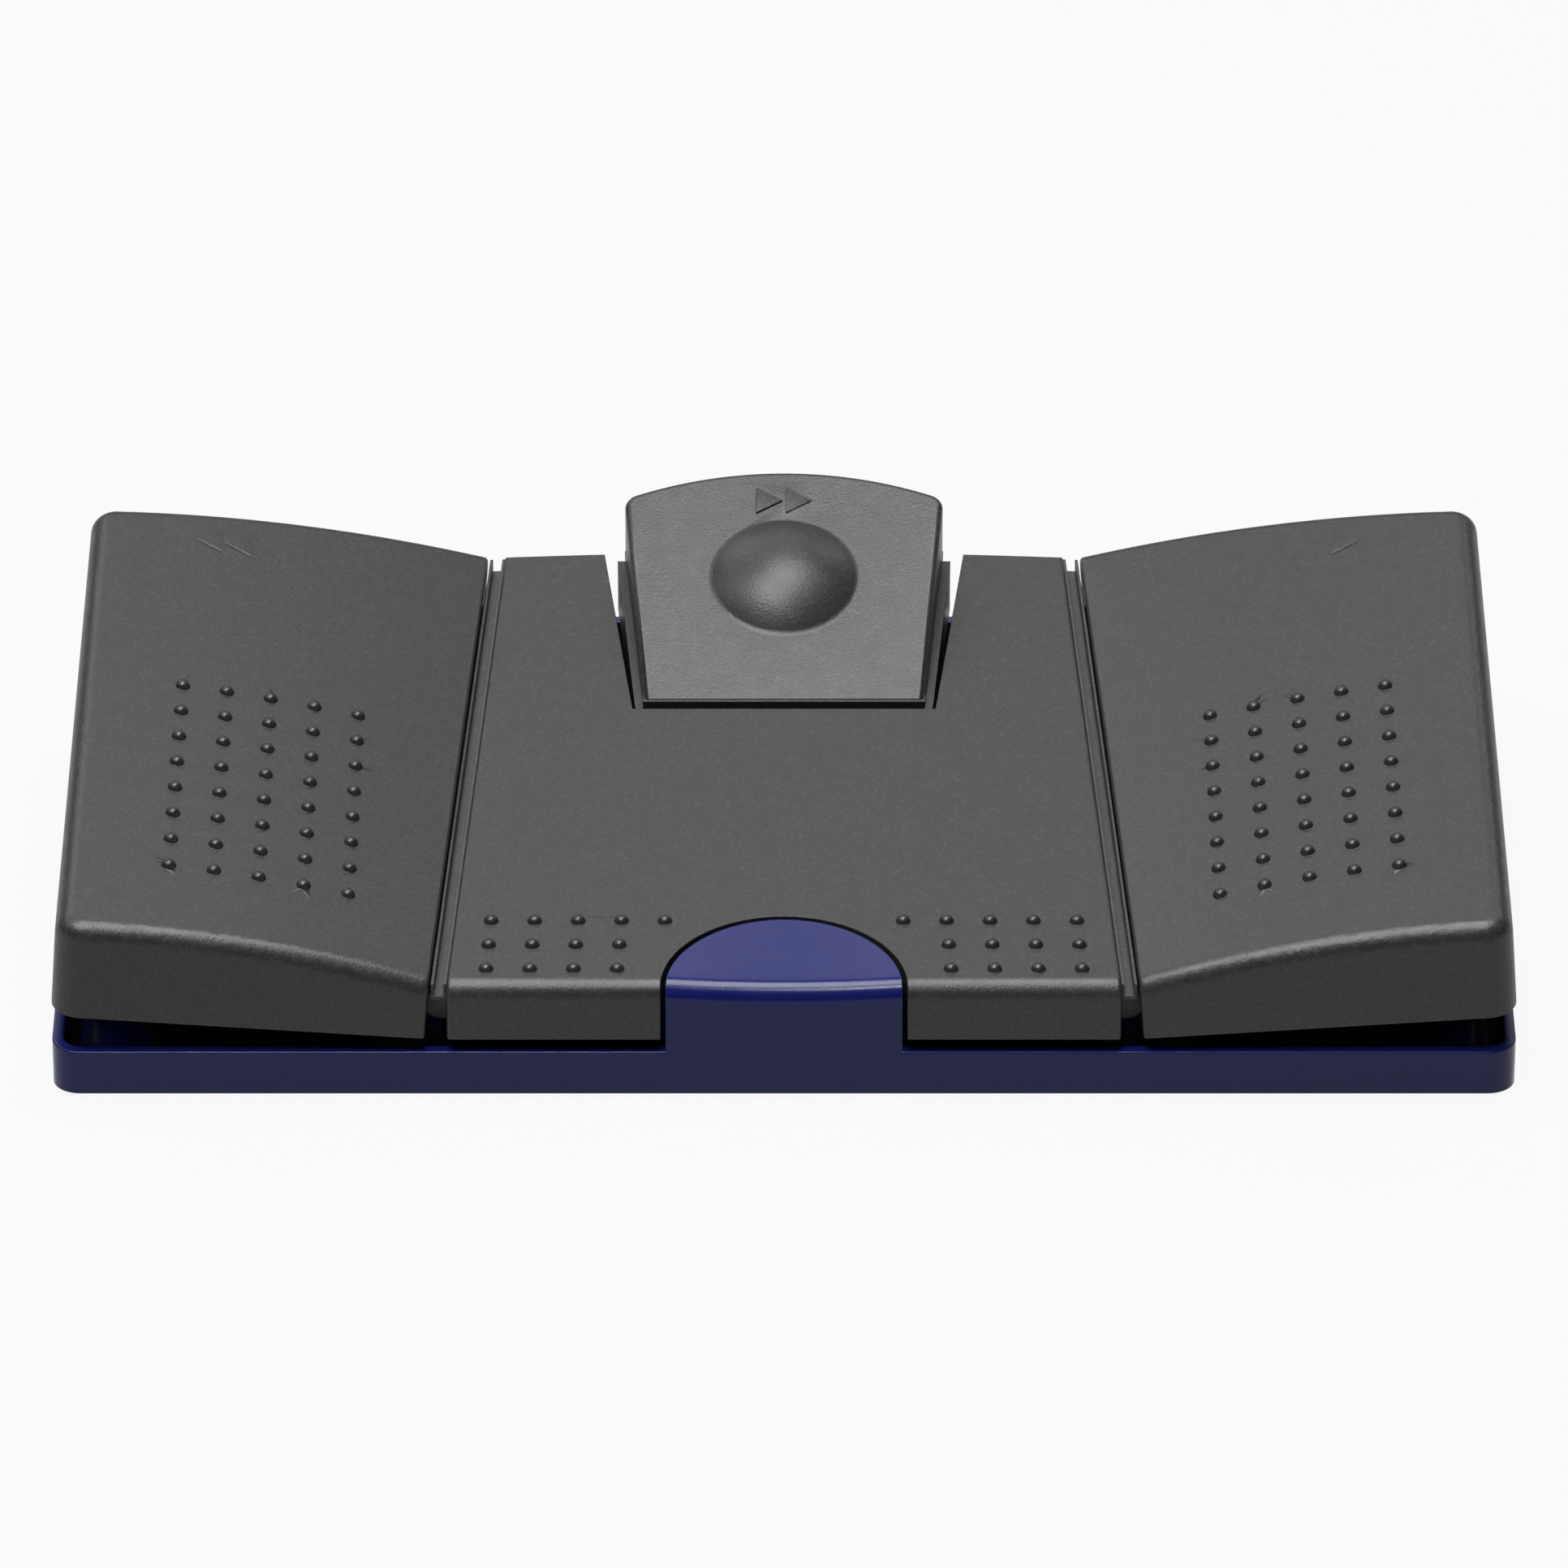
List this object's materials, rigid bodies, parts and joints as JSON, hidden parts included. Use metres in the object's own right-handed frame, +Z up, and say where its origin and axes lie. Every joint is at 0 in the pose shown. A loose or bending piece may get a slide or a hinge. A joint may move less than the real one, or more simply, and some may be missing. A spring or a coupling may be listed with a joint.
{
  "type": "foot pedal switch",
  "caption": "Low foot control: blue wedge tray with a fixed heel cover, a tilting side pedal left and right and a domed top pedal, each on a hinge over a spring and a snap switch.",
  "frame": {"origin": "bottom centre of the whole switch with the pedals up, on the surface under its feet", "axes": "+X to the right of the person using it, -Y towards the heel (the tongue's side), +Z up"},
  "size_m": [0.3, 0.1666, 0.059],
  "materials": {
    "tray_blue": "fine moulded grain, satin",
    "cover_grey": "fine moulded grain, matt",
    "pedal_grey": "fine moulded grain, matt",
    "web_grey": "flexible plastic, satin",
    "steel": "drawn steel",
    "black_plate": "steel plate under black powder coat",
    "black_rubber": "moulded rubber",
    "board_green": "solder mask",
    "switch_black": "moulded",
    "plunger_red": "moulded",
    "terminal_brass": "tinned brass",
    "header_white": "moulded"
  },
  "bodies": {
    "root": {"ballast_screws": "steel", "base_tray": "tray_blue", "board_screws": "steel", "cable_connector": "header_white", "cable_grommet": "black_rubber", "centre_cover": "cover_grey", "circuit_board": "board_green", "cover_screws": "steel", "front_left_foot": "black_rubber", "front_right_foot": "black_rubber", "left_ballast_plate": "black_plate", "left_hinge_pin": "steel", "left_hinge_strip": "web_grey", "left_return_spring": "steel", "left_stop_pads": "black_rubber", "left_switch_body": "switch_black", "left_switch_terminals": "terminal_brass", "rear_left_foot": "black_rubber", "rear_right_foot": "black_rubber", "right_ballast_plate": "black_plate", "right_hinge_pin": "steel", "right_hinge_strip": "web_grey", "right_return_spring": "steel", "right_stop_pads": "black_rubber", "right_switch_body": "switch_black", "right_switch_terminals": "terminal_brass", "top_hinge_pin": "steel", "top_return_spring": "steel", "top_stop_pads": "black_rubber", "top_switch_body": "switch_black", "top_switch_terminals": "terminal_brass"},
    "left_pedal": {"left_pedal": "pedal_grey"},
    "right_pedal": {"right_pedal": "pedal_grey"},
    "top_pedal": {"top_pedal": "pedal_grey"},
    "left_plunger": {"left_switch_plunger": "plunger_red"},
    "right_plunger": {"right_switch_plunger": "plunger_red"},
    "top_plunger": {"top_switch_plunger": "plunger_red"}
  },
  "joints": [
    {"name": "left_pedal_hinge", "type": "hinge", "parent": "root", "child": "left_pedal", "pos_m": [-0.06626, -0.00281, 0.02444], "axis": [-0.0546, -0.9953, -0.0801], "range_deg": [0, 4.2], "stiffness_Nm_per_rad": 2, "springref_deg": -14.32, "deforming": ["left_return_spring"]},
    {"name": "right_pedal_hinge", "type": "hinge", "parent": "root", "child": "right_pedal", "pos_m": [0.06626, -0.00281, 0.02444], "axis": [-0.0546, 0.9953, 0.0801], "range_deg": [0, 4.2], "stiffness_Nm_per_rad": 2, "springref_deg": -14.32, "deforming": ["right_return_spring"]},
    {"name": "top_pedal_hinge", "type": "hinge", "parent": "root", "child": "top_pedal", "pos_m": [0, 0.02869, 0.02647], "axis": [-1, 0, 0], "range_deg": [0, 3.4], "stiffness_Nm_per_rad": 1.5, "springref_deg": -14.32, "deforming": ["top_return_spring"]},
    {"name": "left_plunger_slide", "type": "slide", "parent": "root", "child": "left_plunger", "axis": [0, 0, -1], "range_m": [0, 0.0014]},
    {"name": "right_plunger_slide", "type": "slide", "parent": "root", "child": "right_plunger", "axis": [0, 0, -1], "range_m": [0, 0.0014]},
    {"name": "top_plunger_slide", "type": "slide", "parent": "root", "child": "top_plunger", "axis": [0, 0, -1], "range_m": [0, 0.0014]}
  ],
  "couplings": [
    {"joint": "left_plunger_slide", "follows": "left_pedal_hinge", "m_per_rad": 0.014},
    {"joint": "right_plunger_slide", "follows": "right_pedal_hinge", "m_per_rad": 0.014},
    {"joint": "top_plunger_slide", "follows": "top_pedal_hinge", "m_per_rad": 0.014}
  ]
}
